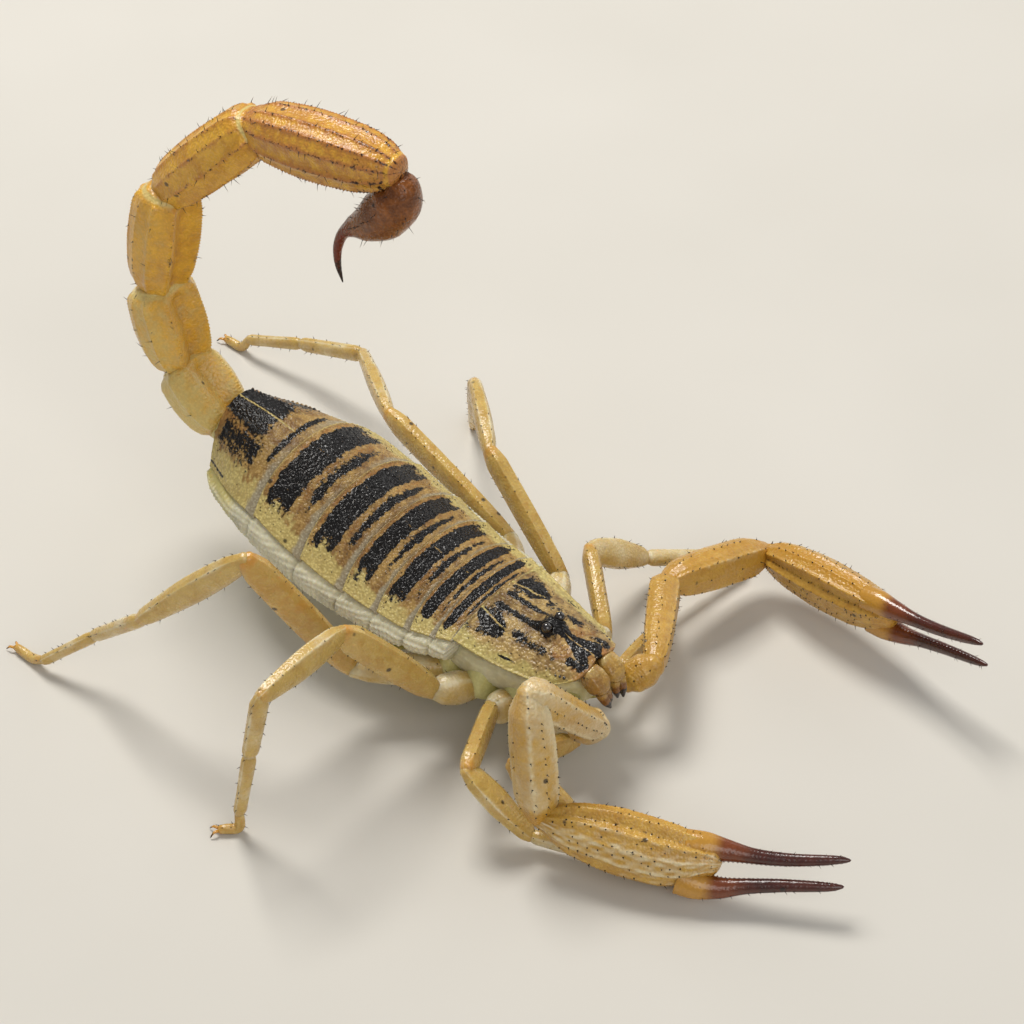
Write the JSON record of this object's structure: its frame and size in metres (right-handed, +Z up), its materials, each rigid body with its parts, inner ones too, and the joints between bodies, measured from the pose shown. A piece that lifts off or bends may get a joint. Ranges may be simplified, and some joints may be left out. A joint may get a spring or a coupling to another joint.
{
  "type": "desert scorpion model",
  "caption": "Life-size still model of a desert scorpion: banded trunk, keeled tail arched over the back with a sting, two pincer arms and jointed walking legs.",
  "frame": {"origin": "on the floor under the middle of the animal's bounding box", "axes": "+Z up; the animal faces -Y, its right side is toward -X and its left side toward +X; +Y runs along the body toward the tail"},
  "size_m": [0.0314, 0.048, 0.0258],
  "materials": {
    "carapace_cuticle": "tan and olive shell with black mottling, satin and finely granular",
    "belly_cuticle": "pale olive-straw belly plates, smooth and faintly glossy",
    "eye_lens": "polished black lens",
    "jaw_cuticle": "amber with dark brown tips, glossy",
    "banded_tergite": "straw back plates with broad black granular bands",
    "folded_membrane": "grey-straw folded skin",
    "tail_cuticle": "translucent amber with dark keels, satin",
    "sting_cuticle": "red-brown bulb and nearly black sting, glossy",
    "finger_cuticle": "dark red-brown, glossy",
    "pincer_cuticle": "amber to straw with pale keels and dark granules",
    "leg_cuticle": "translucent straw, satin"
  },
  "bodies": {
    "root": {"carapace": "carapace_cuticle", "chelicera_left": "jaw_cuticle", "chelicera_right": "jaw_cuticle", "coxosternum": "belly_cuticle", "leg_femur_left_1": "leg_cuticle", "leg_femur_left_2": "leg_cuticle", "leg_femur_left_3": "leg_cuticle", "leg_femur_left_4": "leg_cuticle", "leg_femur_right_1": "leg_cuticle", "leg_femur_right_2": "leg_cuticle", "leg_femur_right_3": "leg_cuticle", "leg_femur_right_4": "leg_cuticle", "leg_foot_left_1": "leg_cuticle", "leg_foot_left_2": "leg_cuticle", "leg_foot_left_3": "leg_cuticle", "leg_foot_left_4": "leg_cuticle", "leg_foot_right_1": "leg_cuticle", "leg_foot_right_2": "leg_cuticle", "leg_foot_right_3": "leg_cuticle", "leg_foot_right_4": "leg_cuticle", "leg_patella_left_1": "leg_cuticle", "leg_patella_left_2": "leg_cuticle", "leg_patella_left_3": "leg_cuticle", "leg_patella_left_4": "leg_cuticle", "leg_patella_right_1": "leg_cuticle", "leg_patella_right_2": "leg_cuticle", "leg_patella_right_3": "leg_cuticle", "leg_patella_right_4": "leg_cuticle", "median_eye_left": "eye_lens", "median_eye_right": "eye_lens", "metasoma_1": "tail_cuticle", "metasoma_2": "tail_cuticle", "metasoma_3": "tail_cuticle", "metasoma_4": "tail_cuticle", "metasoma_5": "tail_cuticle", "palp_femur_left": "pincer_cuticle", "palp_femur_right": "pincer_cuticle", "palp_finger_left": "finger_cuticle", "palp_finger_right": "finger_cuticle", "palp_hand_left": "pincer_cuticle", "palp_hand_right": "pincer_cuticle", "palp_patella_left": "pincer_cuticle", "palp_patella_right": "pincer_cuticle", "palp_trochanter_left": "pincer_cuticle", "palp_trochanter_right": "pincer_cuticle", "pectines": "belly_cuticle", "pleura": "folded_membrane", "sternite_3": "belly_cuticle", "sternite_4": "belly_cuticle", "sternite_5": "belly_cuticle", "sternite_6": "belly_cuticle", "sternite_7": "belly_cuticle", "telson": "sting_cuticle", "tergite_1": "banded_tergite", "tergite_2": "banded_tergite", "tergite_3": "banded_tergite", "tergite_4": "banded_tergite", "tergite_5": "banded_tergite", "tergite_6": "banded_tergite", "tergite_7": "banded_tergite"}
  },
  "joints": []
}
